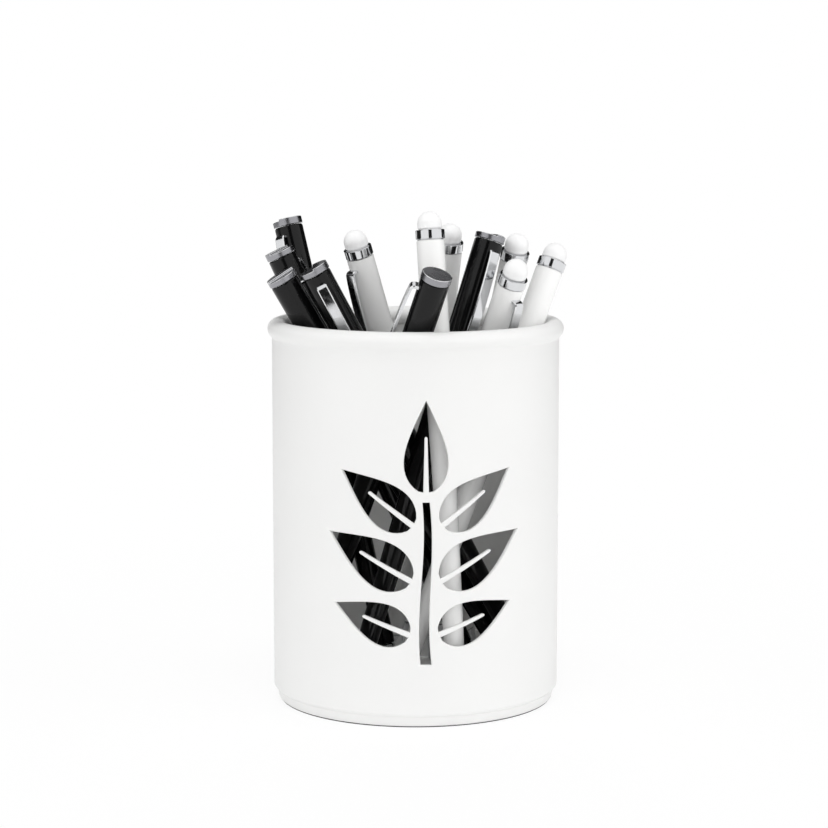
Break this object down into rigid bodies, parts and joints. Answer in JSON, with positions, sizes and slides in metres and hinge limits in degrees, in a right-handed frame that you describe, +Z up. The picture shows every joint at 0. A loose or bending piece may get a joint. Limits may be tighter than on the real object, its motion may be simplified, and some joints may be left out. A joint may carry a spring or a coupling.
{
  "type": "pen holder",
  "caption": "Round sheet metal desk cup with a rolled rim, a set-in foot and a leaf sprig cut through its front, holding pens that lift out.",
  "frame": {"origin": "centre of the cup's underside, on the surface it stands on", "axes": "+Z up along the cup's axis, -Y out of the cup's pierced front, +X to the right seen from the front"},
  "size_m": [0.0835, 0.0837, 0.1375],
  "materials": {
    "white_powder_coat": "satin",
    "dark_pad": "matte",
    "black_lacquer": "gloss",
    "gunmetal": "polished",
    "chrome": "polished",
    "white_lacquer": "gloss",
    "white_silicone": "satin"
  },
  "bodies": {
    "holder": {"cup_wall": "white_powder_coat", "base_pan": "white_powder_coat", "foot_pad": "dark_pad"},
    "black_pen_1": {"black_pen_1_barrel": "black_lacquer", "black_pen_1_crown": "gunmetal", "black_pen_1_clip": "chrome", "black_pen_1_nib": "chrome"},
    "black_pen_2": {"black_pen_2_barrel": "black_lacquer", "black_pen_2_crown": "gunmetal", "black_pen_2_clip": "chrome", "black_pen_2_nib": "chrome"},
    "black_pen_3": {"black_pen_3_barrel": "black_lacquer", "black_pen_3_crown": "gunmetal", "black_pen_3_clip": "chrome", "black_pen_3_nib": "chrome"},
    "black_pen_4": {"black_pen_4_barrel": "black_lacquer", "black_pen_4_crown": "gunmetal", "black_pen_4_clip": "chrome", "black_pen_4_nib": "chrome"},
    "black_pen_5": {"black_pen_5_barrel": "black_lacquer", "black_pen_5_crown": "gunmetal", "black_pen_5_clip": "chrome", "black_pen_5_nib": "chrome"},
    "black_pen_6": {"black_pen_6_barrel": "black_lacquer", "black_pen_6_crown": "gunmetal", "black_pen_6_clip": "chrome", "black_pen_6_nib": "chrome"},
    "white_pen_1": {"white_pen_1_barrel": "white_lacquer", "white_pen_1_collar": "chrome", "white_pen_1_stylus_dome": "white_silicone", "white_pen_1_clip": "chrome", "white_pen_1_nib": "chrome"},
    "white_pen_2": {"white_pen_2_barrel": "white_lacquer", "white_pen_2_collar": "chrome", "white_pen_2_stylus_dome": "white_silicone", "white_pen_2_clip": "chrome", "white_pen_2_nib": "chrome"},
    "white_pen_3": {"white_pen_3_barrel": "white_lacquer", "white_pen_3_collar": "chrome", "white_pen_3_stylus_dome": "white_silicone", "white_pen_3_clip": "chrome", "white_pen_3_nib": "chrome"},
    "white_pen_4": {"white_pen_4_barrel": "white_lacquer", "white_pen_4_collar": "chrome", "white_pen_4_stylus_dome": "white_silicone", "white_pen_4_clip": "chrome", "white_pen_4_nib": "chrome"},
    "white_pen_5": {"white_pen_5_barrel": "white_lacquer", "white_pen_5_collar": "chrome", "white_pen_5_stylus_dome": "white_silicone", "white_pen_5_clip": "chrome", "white_pen_5_nib": "chrome"},
    "white_pen_6": {"white_pen_6_barrel": "white_lacquer", "white_pen_6_collar": "chrome", "white_pen_6_stylus_dome": "white_silicone", "white_pen_6_clip": "chrome", "white_pen_6_nib": "chrome"}
  },
  "joints": [
    {"name": "black_pen_1_lift", "type": "slide", "parent": "holder", "child": "black_pen_1", "axis": [-0.2265, 0.1368, 0.9644], "range_m": [0, 0.125]},
    {"name": "black_pen_2_lift", "type": "slide", "parent": "holder", "child": "black_pen_2", "axis": [-0.4178, -0.0178, 0.9084], "range_m": [0, 0.125]},
    {"name": "black_pen_3_lift", "type": "slide", "parent": "holder", "child": "black_pen_3", "axis": [-0.4906, -0.11, 0.8644], "range_m": [0, 0.125]},
    {"name": "black_pen_4_lift", "type": "slide", "parent": "holder", "child": "black_pen_4", "axis": [-0.4615, -0.0992, 0.8816], "range_m": [0, 0.125]},
    {"name": "black_pen_5_lift", "type": "slide", "parent": "holder", "child": "black_pen_5", "axis": [0.2804, -0.3796, 0.8817], "range_m": [0, 0.125]},
    {"name": "black_pen_6_lift", "type": "slide", "parent": "holder", "child": "black_pen_6", "axis": [0.2909, 0.157, 0.9438], "range_m": [0, 0.125]},
    {"name": "white_pen_1_lift", "type": "slide", "parent": "holder", "child": "white_pen_1", "axis": [-0.2597, -0.1855, 0.9477], "range_m": [0, 0.125]},
    {"name": "white_pen_2_lift", "type": "slide", "parent": "holder", "child": "white_pen_2", "axis": [-0.0583, 0.1068, 0.9926], "range_m": [0, 0.125]},
    {"name": "white_pen_3_lift", "type": "slide", "parent": "holder", "child": "white_pen_3", "axis": [0.094, -0.2631, 0.9602], "range_m": [0, 0.125]},
    {"name": "white_pen_4_lift", "type": "slide", "parent": "holder", "child": "white_pen_4", "axis": [0.1796, -0.2855, 0.9414], "range_m": [0, 0.125]},
    {"name": "white_pen_5_lift", "type": "slide", "parent": "holder", "child": "white_pen_5", "axis": [0.2812, -0.3383, 0.898], "range_m": [0, 0.125]},
    {"name": "white_pen_6_lift", "type": "slide", "parent": "holder", "child": "white_pen_6", "axis": [0.3422, 0.1891, 0.9204], "range_m": [0, 0.125]}
  ]
}
